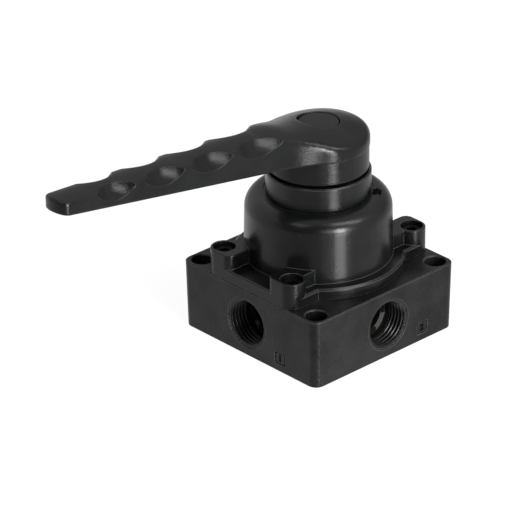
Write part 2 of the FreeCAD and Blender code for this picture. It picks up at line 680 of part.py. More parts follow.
def head():
    """Hub and flares under one smooth crown, with a rim that softens from arm to hub."""
    on_hub, between, on_arm = flare_points()
    sections = [
        crown_section(CROWN_SECTION_STEP * number - CROWN_REACH_BEHIND)
        for number in range(CROWN_SECTION_COUNT)
    ]
    crown = Part.makeLoft(sections, True, False)
    flares = upright([
        line(crossed(on_hub), on_hub),
        arc(on_hub, between, on_arm),
        line(on_arm, crossed(on_arm)),
        arc(crossed(on_arm), crossed(between), crossed(on_hub)),
    ]).common(crown)
    for side in (-1, 1):
        edge, start = flare_edge(flares, side)
        middle = (on_hub.y + on_arm.y) / 2
        from_arm = start < middle
        first = ARM_EDGE_FILLET if from_arm else HUB_RIM_FILLET
        last = HUB_RIM_FILLET if from_arm else ARM_EDGE_FILLET
        flares = flares.makeFillet(first, last, [edge])
    hub = upright([
        arc(on_hub, point(0, HUB_RADIUS), crossed(on_hub)),
        line(crossed(on_hub), on_hub),
    ]).common(crown)
    rim = [
        edge
        for edge in hub.Edges
        if edge.BoundBox.ZMin > SHOULDER_HEIGHT and edge.BoundBox.YMax > on_hub.y + 1
    ]
    return hub.makeFillet(HUB_RIM_FILLET, rim).fuse(flares)


def arm():
    """Tapered arm with a bowed end and a round ridge, from the flares to the tip."""
    on_arm = flare_points()[2]
    end_y = ARM_LENGTH - ARM_END_BULGE
    corner = point(arm_half_width(end_y), -end_y)
    shape = upright([
        line(on_arm, crossed(on_arm)),
        line(crossed(on_arm), crossed(corner)),
        arc(crossed(corner), point(0, -ARM_LENGTH), corner),
        line(corner, on_arm),
    ])
    tip = [
        edge
        for edge in shape.Edges
        if edge.BoundBox.ZLength > 1 and abs(edge.BoundBox.YMax + end_y) < 1e-3
    ]
    shape = shape.makeFillet(ARM_TIP_CORNER_RADIUS, tip)
    rise = math.atan(RIDGE_SLOPE)
    outward = point(0, -math.cos(rise), math.sin(rise))
    normal = point(0, math.sin(rise), math.cos(rise))
    ridge_start = point(0, 0, ridge_height(0))
    ridge = Part.makeCylinder(
        RIDGE_CROSS_RADIUS, 2 * ARM_LENGTH, ridge_start - normal * RIDGE_CROSS_RADIUS, outward
    )
    shape = shape.common(ridge)
    top = [
        edge
        for edge in shape.Edges
        if edge.BoundBox.ZMin > SHOULDER_HEIGHT
        and edge.BoundBox.YMin < on_arm.y - 1
        and edge.BoundBox.ZLength < edge.BoundBox.YLength + edge.BoundBox.XLength
    ]
    return shape.makeFillet(ARM_EDGE_FILLET, top)


def under_arm():
    """Room under the arm: level beside the hub, then rising in a long curve to a slope."""
    knee = ARM_UNDERSIDE_KNEE
    angle = math.atan(ARM_UNDERSIDE_SLOPE)
    tangent = ARM_UNDERSIDE_BLEND_RADIUS * math.tan(angle / 2)
    level = SHOULDER_HEIGHT
    far = ARM_LENGTH + 10
    half = HUB_RADIUS + 10

    def section(distance, height):
        return point(-half, -distance, height)

    start = section(knee - tangent, level)
    end = section(knee + tangent * math.cos(angle), level + tangent * math.sin(angle))
    middle_angle = angle / 2
    middle = section(
        knee - tangent + ARM_UNDERSIDE_BLEND_RADIUS * math.sin(middle_angle),
        level + ARM_UNDERSIDE_BLEND_RADIUS * (1 - math.cos(middle_angle)),
    )
    far_top = section(far, level + (far - knee) * ARM_UNDERSIDE_SLOPE)
    inside = section(0, level)
    outline = Part.Wire([
        line(inside, start),
        arc(start, middle, end),
        line(end, far_top),
        line(far_top, section(far, HUB_BOTTOM - 5)),
        line(section(far, HUB_BOTTOM - 5), section(0, HUB_BOTTOM - 5)),
        line(section(0, HUB_BOTTOM - 5), inside),
    ])
    return Part.Face(outline).extrude(point(2 * half, 0, 0))


def scallops():
    """Ball-shaped scoops over the top edges of the arm, in pairs, shorter towards the tip."""
    tools = []
    for number in range(SCALLOP_COUNT):
        distance = SCALLOP_FIRST + SCALLOP_PITCH * number
        half_length = SCALLOP_HALF_LENGTH - SCALLOP_SHRINK * number
        wall_radius = (half_length**2 + SCALLOP_DEPTH**2) / (2 * SCALLOP_DEPTH)
        offset = wall_radius - SCALLOP_DEPTH
        ball_radius = math.hypot(wall_radius, offset)
        half_width = arm_half_width(distance)
        crown_drop = RIDGE_CROSS_RADIUS - math.sqrt(RIDGE_CROSS_RADIUS**2 - half_width**2)
        height = ridge_height(distance) - crown_drop + offset
        for side in (-1, 1):
            centre = point(side * (half_width + offset), -distance, height)
            tools.append(Part.makeSphere(ball_radius, centre))
    return tools


def stop_slot():
    """Curved slot in the hub's underside around the stop pin, as long as the lever's swing."""
    width = STOP_PIN_RADIUS + STOP_CLEARANCE
    bottom, top = HUB_BOTTOM, HUB_BOTTOM + STOP_SLOT_DEPTH
    band = ring(DETENT_CIRCLE_RADIUS + width, DETENT_CIRCLE_RADIUS - width, bottom, top)
    wedge = Part.makeCylinder(HUB_RADIUS, top - bottom, point(0, 0, bottom), UP, 2 * LEVER_SWING)
    wedge.rotate(ORIGIN, UP, 90 - LEVER_SWING)
    ends = []
    for side in (-1, 1):
        end = polar(DETENT_CIRCLE_RADIUS, 90 + side * LEVER_SWING)
        ends.append(cylinder(width, bottom, top, end.x, end.y))
    return band.common(wedge).fuse(ends)


def lever():
    upper = head().fuse(arm()).cut(under_arm())
    skirt = cylinder(SKIRT_RADIUS, HUB_BOTTOM, SHOULDER_HEIGHT)
    skirt = skirt.makeChamfer(SKIRT_CHAMFER, edges_at(skirt, HUB_BOTTOM))
    below_hub = ring(HUB_RADIUS + 1, SKIRT_RADIUS, CASTING_BOTTOM, SHOULDER_HEIGHT)
    shape = upper.cut(below_hub).fuse(skirt).removeSplitter()
    half_square = SQUARE_SIDE / 2 + FIT_CLEARANCE
    tools = scallops()
    square_room = SQUARE_TOP + FIT_CLEARANCE
    tools.append(block(-half_square, half_square, -half_square, half_square, HUB_BOTTOM, square_room))
    tools.append(cylinder(LEVER_SCREW_HOLE_RADIUS, SQUARE_TOP, WELL_FLOOR))
    tools.append(cylinder(SCREW_WELL_RADIUS, WELL_FLOOR, CAP_SEAT))
    tools.append(cylinder(CAP_RADIUS + FIT_CLEARANCE, CAP_SEAT, HUB_CROWN_TOP + CUT_OVERRUN))
    tools.append(stop_slot())
    for angle in (0, 180):
        place = polar(DETENT_CIRCLE_RADIUS, angle)
        bore_radius = DETENT_BALL_RADIUS + SLOT_CLEARANCE
        bore_top = HUB_BOTTOM + DETENT_BORE_DEPTH
        tools.append(cylinder(bore_radius, HUB_BOTTOM, bore_top, place.x, place.y))
    return shape.cut(tools)


def lever_screw():
    seat = WELL_FLOOR + LEVER_WASHER_THICKNESS
    head = cylinder(LEVER_SCREW_HEAD_RADIUS, seat, LEVER_SCREW_HEAD_TOP)
    head = head.makeFillet(LEVER_SCREW_HEAD_HEIGHT * 0.7, edges_at(head, LEVER_SCREW_HEAD_TOP))
    shank = cylinder(LEVER_SCREW_RADIUS, seat - LEVER_SCREW_LENGTH, seat)
    socket = hexagon(
        LEVER_SCREW_SOCKET_FLATS, LEVER_SCREW_HEAD_TOP - LEVER_SCREW_SOCKET_DEPTH, LEVER_SCREW_HEAD_TOP
    )
    return head.fuse(shank).cut(socket)


def lever_screw_washer():
    return ring(
        LEVER_WASHER_RADIUS, LEVER_SCREW_HOLE_RADIUS, WELL_FLOOR, WELL_FLOOR + LEVER_WASHER_THICKNESS
    )


def lever_cap():
    """Plug that fits its hole at the foot and leaves a narrow groove round its top."""
    top = CAP_SEAT + CAP_THICKNESS
    foot_top = CAP_SEAT + CAP_FOOT_HEIGHT
    face = cylinder(CAP_RADIUS - CAP_GROOVE, CAP_SEAT, top)
    face = face.makeChamfer(CAP_CHAMFER, edges_at(face, top))
    return cylinder(CAP_RADIUS, CAP_SEAT, foot_top).fuse(face).removeSplitter()


save("valve_body", valve_body())
save("bonnet", bonnet())
save("bonnet_o_ring", bonnet_o_ring())
screw_places = four_corners(BOSS_X, BOSS_Y)
save("bonnet_screws", Part.makeCompound([bonnet_screw(x, y) for x, y in screw_places]))
save("screw_spring_washers", Part.makeCompound([spring_washer(x, y) for x, y in screw_places]))
save("rotor_disc", rotor_disc())
save("rotor_spring", rotor_spring())
save("spindle", spindle())
save("spindle_o_ring", spindle_o_ring())
save("spindle_bush", spindle_bush())
save("thrust_washer", thrust_washer())
save("spindle_circlip", spindle_circlip())
save("neck_collar", neck_collar())
save("stop_pin", stop_pin())
for side_name, ball_angle in (("right", 0), ("left", 180)):
    save(f"detent_ball_{side_name}", detent_ball(ball_angle))
    save(f"detent_spring_{side_name}", detent_spring(ball_angle))
save("lever", lever())
save("lever_screw", lever_screw())
save("lever_screw_washer", lever_screw_washer())
save("lever_cap", lever_cap())
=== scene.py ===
"""Looks of the hand lever air valve: finishes, port threads and seats, plain numbers, studio and camera."""

import logging
import math
from collections.abc import Callable
from dataclasses import dataclass
from enum import Enum

import bpy
from mathutils import Matrix, Quaternion, Vector


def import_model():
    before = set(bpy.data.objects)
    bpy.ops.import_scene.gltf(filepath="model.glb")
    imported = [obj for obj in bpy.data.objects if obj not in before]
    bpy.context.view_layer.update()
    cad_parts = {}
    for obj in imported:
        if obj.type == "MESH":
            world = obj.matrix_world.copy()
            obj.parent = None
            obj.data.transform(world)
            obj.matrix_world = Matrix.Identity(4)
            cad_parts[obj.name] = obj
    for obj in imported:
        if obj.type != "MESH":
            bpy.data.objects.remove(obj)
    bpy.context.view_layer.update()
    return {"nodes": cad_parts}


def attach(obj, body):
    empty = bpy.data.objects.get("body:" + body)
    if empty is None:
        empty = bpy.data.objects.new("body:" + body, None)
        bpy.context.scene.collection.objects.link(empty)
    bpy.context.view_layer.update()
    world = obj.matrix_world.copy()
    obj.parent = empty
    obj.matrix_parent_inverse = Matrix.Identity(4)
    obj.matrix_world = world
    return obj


LOG = logging.getLogger("valve")
MM = 0.001

# Sizes of the CAD model, where the scene's own pieces sit
PORT_HEIGHT = 14.3 * MM
PORT_OFFSET = 1.4 * MM
DOME_TOP = 62.7 * MM

# Sizes that the thread and the seat of a port share, with a wall that reaches a little into the body
PORT_WALL_RADIUS = 10.55 * MM
PORT_BORE_RADIUS = 9.35 * MM
PORT_THREAD_END = 31.2 * MM

# Corners of a mesh that are nearer to each other are merged
MERGE_DISTANCE = 0.001 * MM
# How exactly a mesh is cut
CUT_TOLERANCE = 0.0001 * MM
# A face faces a way if more than this share of its normal points there
FACING = 0.5
# Turns what is modelled face up, so that it faces the front and its +Y points up
TOWARDS_FRONT = Matrix.Rotation(math.pi / 2, 4, "X")
# What a noise texture gives on average
NOISE_MIDDLE = 0.5
WHITE = (1.0, 1.0, 1.0)

# A colour without its opacity
Colour = tuple[float, float, float]
# What an input of a node can be given
Feed = bpy.types.NodeSocket | float | tuple[float, ...] | Vector


class Texture(Enum):
    """What the fine texture of a finish is like."""

    GRAINED = "grained"
    TURNED = "turned"


class Kind(Enum):
    """What a socket of a node group carries."""

    NUMBER = "NodeSocketFloat"
    VECTOR = "NodeSocketVector"


class Element(Enum):
    """What of a mesh is selected in edit mode."""

    CORNER = "VERT"
    EDGE = "EDGE"
    FACE = "FACE"

    def all_of(self, mesh: bpy.types.Mesh) -> bpy.types.bpy_prop_collection:
        """Gives all corners, edges or faces of a mesh."""
        return {"VERT": mesh.vertices, "EDGE": mesh.edges, "FACE": mesh.polygons}[self.value]


class Side(Enum):
    """Which way a port faces, in quarter turns about the vertical axis from the front one."""

    FRONT = 0
    RIGHT = 1
    REAR = 2
    LEFT = 3

    def turn(self) -> Matrix:
        """Turns what is made for the front face to this one."""
        return Matrix.Rotation(self.value * math.pi / 2, 4, "Z")

    def port_offset(self) -> float:
        """Place of the port across its face, to the right for someone who looks at the face."""
        return PORT_OFFSET if self in (Side.RIGHT, Side.REAR) else -PORT_OFFSET


# Modelling

def deselect_all() -> None:
    """Leaves nothing selected, so that an operator acts on the new piece alone."""
    bpy.ops.object.select_all(action="DESELECT")


def pick(piece: bpy.types.Object) -> None:
    """Selects one piece and makes it the active one.

    Args:
        piece: The piece.
    """
    deselect_all()
    piece.select_set(True)
    bpy.context.view_layer.objects.active = piece


def settle(piece: bpy.types.Object, place: Matrix) -> None:
    """Moves a piece by a matrix and puts that place into its mesh.

    Args:
        piece: The piece.
        place: The move, which is added to where the piece is.
    """
    pick(piece)
    piece.matrix_world = place @ piece.matrix_world
    bpy.context.view_layer.update()
    bpy.ops.object.transform_apply(location=True, rotation=True, scale=True)


def copied(piece: bpy.types.Object, name: str) -> bpy.types.Object:
    """Copies a piece together with its mesh.

    Args:
        piece: The piece to copy.
        name: The name of the copy.

    Returns:
        The copy.
    """
    pick(piece)
    bpy.ops.object.duplicate(linked=False)
    copy = bpy.context.object
    copy.name = name
    copy.data.name = name
    return copy


def choose(piece: bpy.types.Object, element: Element, wanted: Callable[[object], bool]) -> None:
    """Selects what passes a test, and leaves the piece in edit mode.

    Args:
        piece: The piece.
        element: Whether its corners, its edges or its faces are tested.
        wanted: The test.
    """
    bpy.ops.object.mode_set(mode="EDIT")
    bpy.ops.mesh.select_mode(type=element.value)
    bpy.ops.mesh.select_all(action="DESELECT")
    bpy.ops.object.mode_set(mode="OBJECT")
    for item in element.all_of(piece.data):
        item.select = wanted(item)
    bpy.ops.object.mode_set(mode="EDIT")


def close_seams(distance: float) -> None:
    """Merges corners that meet and turns every face outwards, for the piece in edit mode.

    Args:
        distance: How far apart two corners are at most to be merged.
    """
    bpy.ops.mesh.select_all(action="SELECT")
    bpy.ops.mesh.remove_doubles(threshold=distance)
    bpy.ops.mesh.normals_make_consistent(inside=False)


def smooth_by_angle(piece: bpy.types.Object, degrees: float) -> None:
    """Shades a piece smooth, with edges sharper than the angle kept crisp."""
    pick(piece)
    bpy.ops.object.shade_smooth_by_angle(angle=math.radians(degrees))


# Shader nodes

def add_input(tree: bpy.types.NodeTree, name: str, kind: Kind = Kind.NUMBER, value: float = 0.0) -> None:
    """Gives a node group a named input.

    Args:
        tree: The group.
        name: The input's name.
        kind: What it carries.
        value: Its default, for a number that the finishes leave as it is.
    """
    made = tree.interface.new_socket(name=name, in_out="INPUT", socket_type=kind.value)
    if kind is Kind.NUMBER:
        made.default_value = value


def add_output(tree: bpy.types.NodeTree, name: str, kind: Kind = Kind.NUMBER) -> None:
    """Gives a node group a named output."""
    tree.interface.new_socket(name=name, in_out="OUTPUT", socket_type=kind.value)


def feed(tree: bpy.types.NodeTree, slot: bpy.types.NodeSocket, value: Feed) -> None:
    """Links a socket to a node's input, or sets the input to a plain value.

    Args:
        tree: The node tree.
        slot: The input.
        value: A socket or a plain value.
    """
    if isinstance(value, bpy.types.NodeSocket):
        tree.links.new(value, slot)
    else:
        slot.default_value = value


def maths(tree: bpy.types.NodeTree, operation: str, first: Feed, second: Feed) -> bpy.types.NodeSocket:
    """Adds a Math node.

    Args:
        tree: The node tree.
        operation: The node's operation.
        first: A socket or a number.
        second: A socket or a number.

    Returns:
        The output socket.
    """
    node = tree.nodes.new("ShaderNodeMath")
    node.operation = operation
    for slot, value in zip(node.inputs, (first, second)):
        feed(tree, slot, value)
    return node.outputs["Value"]


def vector_maths(tree: bpy.types.NodeTree, operation: str, *values: Feed) -> bpy.types.Node:
    """Adds a Vector Math node.

    Args:
        tree: The node tree.
        operation: The node's operation.
        values: A socket or a vector for each input that the operation reads.

    Returns:
        The node, because some operations put out a vector and some a value.
    """
    node = tree.nodes.new("ShaderNodeVectorMath")
    node.operation = operation
    for slot, value in zip(node.inputs, values):
        feed(tree, slot, value)
    return node


def map_range(tree: bpy.types.NodeTree, value: Feed, start: Feed, end: Feed) -> bpy.types.Node:
    """Adds a Map Range node, from 0 at the start to 1 at the end.

    Args:
        tree: The node tree.
        value: What is mapped.
        start: The value that gives 0.
        end: The value that gives 1.

    Returns:
        The node.
    """
    node = tree.nodes.new("ShaderNodeMapRange")
    feed(tree, node.inputs["Value"], value)
    feed(tree, node.inputs["From Min"], start)
    feed(tree, node.inputs["From Max"], end)
    return node


def noise(
    tree: bpy.types.NodeTree,
    place: bpy.types.NodeSocket,
    scale: Feed,
    detail: float,
    dimensions: str = "3D",
) -> bpy.types.NodeSocket:
    """Adds a Noise Texture node.

    Args:
        tree: The node tree.
        place: The socket with the coordinates, or with the value for one dimension.
        scale: A socket or a number.
        detail: Octaves of finer noise.
        dimensions: 3D or 1D.

    Returns:
        The factor socket.
    """
    node = tree.nodes.new("ShaderNodeTexNoise")
    node.noise_dimensions = dimensions
    node.inputs["Detail"].default_value = detail
    feed(tree, node.inputs["W" if dimensions == "1D" else "Vector"], place)
    feed(tree, node.inputs["Scale"], scale)
    return node.outputs["Fac"]


def on_surface(tree: bpy.types.NodeTree) -> bpy.types.NodeSocket:
    """Gives the place on the piece, in metres."""
    return tree.nodes.new("ShaderNodeTexCoord").outputs["Object"]


def opaque(colour: Colour) -> tuple[float, ...]:
    """Adds full opacity to a colour."""
    return (*colour, 1.0)


def blended(
    tree: bpy.types.NodeTree, mask: bpy.types.NodeSocket, under: Feed, over: Feed
) -> bpy.types.NodeSocket:
    """Mixes two colours by a mask.

    Args:
        tree: The node tree.
        mask: The share of the second colour.
        under: The first colour, as numbers or as a socket.
        over: The second colour, as numbers or as a socket.

    Returns:
        The socket of the mixed colour.
    """
    mix = tree.nodes.new("ShaderNodeMix")
    mix.data_type = "RGBA"
    feed(tree, mix.inputs["Factor"], mask)
    slots = [slot for slot in mix.inputs if slot.type == "RGBA"]
    for slot, colour in zip(slots, (under, over)):
        feed(tree, slot, colour)
    return next(slot for slot in mix.outputs if slot.type == "RGBA")


def place_group(
    tree: bpy.types.NodeTree, group: bpy.types.NodeTree, values: dict[str, float] | None = None
) -> bpy.types.Node:
    """Adds a node group to a material.

    Args:
        tree: The material's node tree.
        group: The group.
        values: The inputs that the material sets, by name.

    Returns:
        The node.
    """
    node = tree.nodes.new("ShaderNodeGroup")
    node.node_tree = group
    for name, value in (values or {}).items():
        node.inputs[name].default_value = value
    return node


# Finishes

@dataclass
class Effects:
    """Node groups that several finishes use, built once, with the numbers that all finishes share."""

    edge_samples: int = 6
    wear_steepness: float = 22.0
    wear_scale: float = 900.0
    clouds_start: float = 0.55
    clouds_full: float = 0.95
    fade_reach: float = 1.3
    faded_spread: float = 0.25

    def __post_init__(self) -> None:
        """Builds the groups."""
        self.edges = self.build_edges()
        self.mottle = self.build_mottle()
        self.grain = self.build_grain()
        self.turning = self.build_turning()

    def build_edges(self) -> bpy.types.NodeTree:
        """Edges a little rounded, with a mask for a paler colour on them, partly abraded paint and partly
        painted highlight.

        Returns:
            The group, which puts out a normal and a mask.
        """
        tree = bpy.data.node_groups.new("soft_edges", "ShaderNodeTree")
        add_input(tree, "Radius")
        add_input(tree, "Wear")
        add_output(tree, "Normal", Kind.VECTOR)
        add_output(tree, "Mask")
        entry = tree.nodes.new("NodeGroupInput")
        leave = tree.nodes.new("NodeGroupOutput")
        bevel = tree.nodes.new("ShaderNodeBevel")
        bevel.samples = self.edge_samples
        tree.links.new(entry.outputs["Radius"], bevel.inputs["Radius"])
        tree.links.new(bevel.outputs["Normal"], leave.inputs["Normal"])
        surface = tree.nodes.new("ShaderNodeNewGeometry").outputs["Normal"]
        alike = vector_maths(tree, "DOT_PRODUCT", bevel.outputs["Normal"], surface)
        turned = maths(tree, "SUBTRACT", 1.0, alike.outputs["Value"])
        strong = maths(tree, "MULTIPLY", turned, self.wear_steepness)
        patches = noise(tree, on_surface(tree), self.wear_scale, detail=2.0)
        patchy = maths(tree, "MULTIPLY", patches, entry.outputs["Wear"])
        mask = maths(tree, "MULTIPLY", strong, patchy)
        tree.links.new(maths(tree, "MINIMUM", mask, 1.0), leave.inputs["Mask"])
        return tree

    def build_mottle(self) -> bpy.types.NodeTree:
        """Slow light and dark clouds of a sprayed black, with a few finer specks.

        Returns:
            The group, which puts out a mask.
        """
        tree = bpy.data.node_groups.new("spray_mottle", "ShaderNodeTree")
        add_input(tree, "Cloud Scale", value=70.0)
        add_input(tree, "Speck Scale", value=1900.0)
        add_input(tree, "Speck Share", value=0.5)
        add_output(tree, "Mask")
        entry = tree.nodes.new("NodeGroupInput")
        leave = tree.nodes.new("NodeGroupOutput")
        place = on_surface(tree)
        cloud = noise(tree, place, entry.outputs["Cloud Scale"], detail=3.0)
        speck = noise(tree, place, entry.outputs["Speck Scale"], detail=1.0)
        specks = maths(tree, "MULTIPLY", speck, entry.outputs["Speck Share"])
        both = maths(tree, "ADD", cloud, specks)
        contrast = map_range(tree, both, self.clouds_start, self.clouds_full)
        tree.links.new(contrast.outputs["Result"], leave.inputs["Mask"])
        return tree

    def build_grain(self) -> bpy.types.NodeTree:
        """Fine grain of a painted casting or a moulding, with a slower unevenness of the gloss.

        Returns:
            The group, which puts out a height and a roughness.
        """
        tree = bpy.data.node_groups.new("surface_grain", "ShaderNodeTree")
        add_input(tree, "Scale")
        add_input(tree, "Gloss Scale", value=90.0)
        add_input(tree, "Roughness")
        add_input(tree, "Unevenness")
        add_output(tree, "Height")
        add_output(tree, "Roughness")
        entry = tree.nodes.new("NodeGroupInput")
        leave = tree.nodes.new("NodeGroupOutput")
        place = on_surface(tree)
        height = noise(tree, place, entry.outputs["Scale"], detail=2.0)
        tree.links.new(height, leave.inputs["Height"])
        slow = noise(tree, place, entry.outputs["Gloss Scale"], detail=3.0)
        centred = maths(tree, "SUBTRACT", slow, NOISE_MIDDLE)
        change = maths(tree, "MULTIPLY", centred, entry.outputs["Unevenness"])
        rough = maths(tree, "ADD", change, entry.outputs["Roughness"])
        tree.links.new(rough, leave.inputs["Roughness"])
        return tree

    def build_turning(self) -> bpy.types.NodeTree:
        """Fine turning marks round the vertical axis, which spread a reflection up and down.

        They are full up to a reach from the axis, and weaker further out.

        Returns:
            The group, which puts out a normal.
        """
        tree = bpy.data.node_groups.new("turning_marks", "ShaderNodeTree")
        add_input(tree, "Marks")
        add_input(tree, "Spread")
        add_input(tree, "Reach", value=26.0 * MM)
        add_input(tree, "Surface", Kind.VECTOR)
        add_output(tree, "Normal", Kind.VECTOR)
        entry = tree.nodes.new("NodeGroupInput")
        leave = tree.nodes.new("NodeGroupOutput")
        apart = tree.nodes.new("ShaderNodeSeparateXYZ")
        tree.links.new(on_surface(tree), apart.inputs["Vector"])
        marks = noise(tree, apart.outputs["Z"], entry.outputs["Marks"], detail=0.0, dimensions="1D")
        centred = maths(tree, "SUBTRACT", marks, NOISE_MIDDLE)
        flat = tree.nodes.new("ShaderNodeCombineXYZ")
        tree.links.new(apart.outputs["X"], flat.inputs["X"])
        tree.links.new(apart.outputs["Y"], flat.inputs["Y"])
        distance = vector_maths(tree, "LENGTH", flat.outputs["Vector"])
        faded = maths(tree, "MULTIPLY", entry.outputs["Reach"], self.fade_reach)
        fade = map_range(tree, distance.outputs["Value"], entry.outputs["Reach"], faded)
        fade.inputs["To Min"].default_value = 1.0
        fade.inputs["To Max"].default_value = self.faded_spread
        spread = maths(tree, "MULTIPLY", fade.outputs["Result"], entry.outputs["Spread"])
        tilt = maths(tree, "MULTIPLY", centred, spread)
        upward = tree.nodes.new("ShaderNodeCombineXYZ")
        tree.links.new(tilt, upward.inputs["Z"])
        summed = vector_maths(tree, "ADD", entry.outputs["Surface"], upward.outputs["Vector"])
        unit = vector_maths(tree, "NORMALIZE", summed.outputs["Vector"])
        tree.links.new(unit.outputs["Vector"], leave.inputs["Normal"])
        return tree


@dataclass(frozen=True)
class Finish:
    """One finish of the valve, made into one material.

    Clouds mix its colour with a paler one, and a finish with an edge colour shows it on the edges, partly as
    abraded paint and partly as painted highlight. Lengths are in metres, and scales are in cells or marks to
    the metre.
    """

    name: str
    colour: Colour
    pale: Colour
    roughness: float
    texture: Texture = Texture.GRAINED
    edge_wear_and_highlight: Colour | None = None
    wear: float = 1.0
    edge_radius: float = 0.3 * MM
    metallic: float = 0.0
    specular: float = 0.5
    unevenness: float = 0.06
    grain_scale: float = 2600.0
    grain_depth: float = 0.0
    spread: float = 0.0
    marks: float = 9000.0
    coat: float = 0.0
    coat_roughness: float = 0.15

    def build(self, effects: Effects) -> bpy.types.Material:
        """Makes the material.

        Args:
            effects: The node groups to use.

        Returns:
            The material.
        """
        material = bpy.data.materials.new(self.name)
        material.use_nodes = True
        tree = material.node_tree
        edges = place_group(tree, effects.edges, {"Radius": self.edge_radius, "Wear": self.wear})
        grain = place_group(
            tree,
            effects.grain,
            {"Scale": self.grain_scale, "Roughness": self.roughness, "Unevenness": self.unevenness},
        )
        shader = tree.nodes["Principled BSDF"]
        # The plain colour stands in where the links aren't read
        shader.inputs["Base Color"].default_value = opaque(self.colour)
        shader.inputs["Metallic"].default_value = self.metallic
        shader.inputs["Specular IOR Level"].default_value = self.specular
        shader.inputs["Coat Weight"].default_value = self.coat
        shader.inputs["Coat Roughness"].default_value = self.coat_roughness
        tree.links.new(self.coloured(tree, effects, edges), shader.inputs["Base Color"])
        tree.links.new(grain.outputs["Roughness"], shader.inputs["Roughness"])
        tree.links.new(self.shaped(tree, effects, edges, grain), shader.inputs["Normal"])
        return material

    def coloured(
        self, tree: bpy.types.NodeTree, effects: Effects, edges: bpy.types.Node
    ) -> bpy.types.NodeSocket:
        """Mixes the finish's colours.

        Args:
            tree: The material's node tree.
            effects: The node groups to use.
            edges: The node that knows where the edges are.

        Returns:
            The colour socket.
        """
        mottle = place_group(tree, effects.mottle)
        clouded = blended(tree, mottle.outputs["Mask"], opaque(self.colour), opaque(self.pale))
        # On the edges the paler colour is partly abraded paint and partly painted highlight
        if self.edge_wear_and_highlight is None:
            return clouded
        return blended(tree, edges.outputs["Mask"], clouded, opaque(self.edge_wear_and_highlight))

    def shaped(
        self, tree: bpy.types.NodeTree, effects: Effects, edges: bpy.types.Node, grain: bpy.types.Node
    ) -> bpy.types.NodeSocket:
        """Adds the turning marks and the grain to the soft edges.

        Args:
            tree: The material's node tree.
            effects: The node groups to use.
            edges: The node with the soft edges.
            grain: The node with the grain.

        Returns:
            The normal socket.
        """
        normal = edges.outputs["Normal"]
        if self.texture is Texture.TURNED:
            turning = place_group(tree, effects.turning, {"Spread": self.spread, "Marks": self.marks})
            tree.links.new(normal, turning.inputs["Surface"])
            normal = turning.outputs["Normal"]
        if self.grain_depth > 0:
            bump = tree.nodes.new("ShaderNodeBump")
            bump.inputs["Distance"].default_value = self.grain_depth
            tree.links.new(grain.outputs["Height"], bump.inputs["Height"])
            tree.links.new(normal, bump.inputs["Normal"])
            normal = bump.outputs["Normal"]
        return normal


BLACK = (0.0018, 0.002, 0.0022)
PALE_BLACK = (0.006, 0.0062, 0.0064)
CLOUDED_BLACK = (0.014, 0.0137, 0.0133)
# Paler greys on the edges, convex and concave alike: partly abraded paint, partly painted highlight along
# the edges
RUBBED_AND_HIGHLIGHT = (0.11, 0.11, 0.11)
FAINT_RUB_AND_HIGHLIGHT = (0.06, 0.058, 0.055)

BODY_PAINT = Finish(
    "body_paint",
    colour=BLACK,
    pale=CLOUDED_BLACK,
    roughness=0.33,
    edge_wear_and_highlight=RUBBED_AND_HIGHLIGHT,
    edge_radius=0.25 * MM,
    specular=0.23,
    unevenness=0.15,
    grain_scale=1000.0,
    grain_depth=0.1 * MM,
)
BONNET_PAINT = Finish(
    "bonnet_paint",
    colour=BLACK,
    pale=PALE_BLACK,
    roughness=0.28,
    edge_wear_and_highlight=RUBBED_AND_HIGHLIGHT,
    edge_radius=0.25 * MM,
    specular=0.18,
    grain_scale=1600.0,
    grain_depth=0.08 * MM,
    coat=0.2,
)
LEVER_PAINT = Finish(
    "lever_paint",
    colour=BLACK,
    pale=PALE_BLACK,
    roughness=0.2,
    texture=Texture.TURNED,
    edge_wear_and_highlight=RUBBED_AND_HIGHLIGHT,
    wear=0.05,
    edge_radius=1.1 * MM,
    specular=0.25,
    unevenness=0.12,
    grain_scale=1300.0,
    grain_depth=0.06 * MM,
    spread=0.22,
    marks=3000.0,
)
TURNED_BLACK = Finish(
    "turned_black",
    colour=BLACK,
    pale=PALE_BLACK,
    roughness=0.22,
    texture=Texture.TURNED,
    edge_wear_and_highlight=RUBBED_AND_HIGHLIGHT,
    edge_radius=0.2 * MM,
    specular=0.3,
    unevenness=0.1,
    grain_scale=1300.0,
    grain_depth=0.05 * MM,
    spread=0.5,
)
CAP_PLASTIC = Finish(
    "cap_plastic", colour=BLACK, pale=PALE_BLACK, roughness=0.3, specular=0.28, grain_depth=0.02 * MM
)
THREAD_BLACK = Finish(
    "thread_black",
    colour=BLACK,
    pale=PALE_BLACK,
    roughness=0.3,
    edge_wear_and_highlight=FAINT_RUB_AND_HIGHLIGHT,
    wear=0.5,
    edge_radius=0.15 * MM,
    specular=0.2,
)
# Unpainted metal, paler than the paint, on part of each port floor: partly the seat's own colour, partly
# painted light where light falls in through the mouth
BARE_SEAT_AND_PAINTED_LIGHT = Finish(
    "bare_seat_and_painted_light",
    colour=(0.04, 0.038, 0.035),
    pale=(0.08, 0.076, 0.069),
    roughness=0.5,
    metallic=0.2,
    grain_depth=0.05 * MM,
)
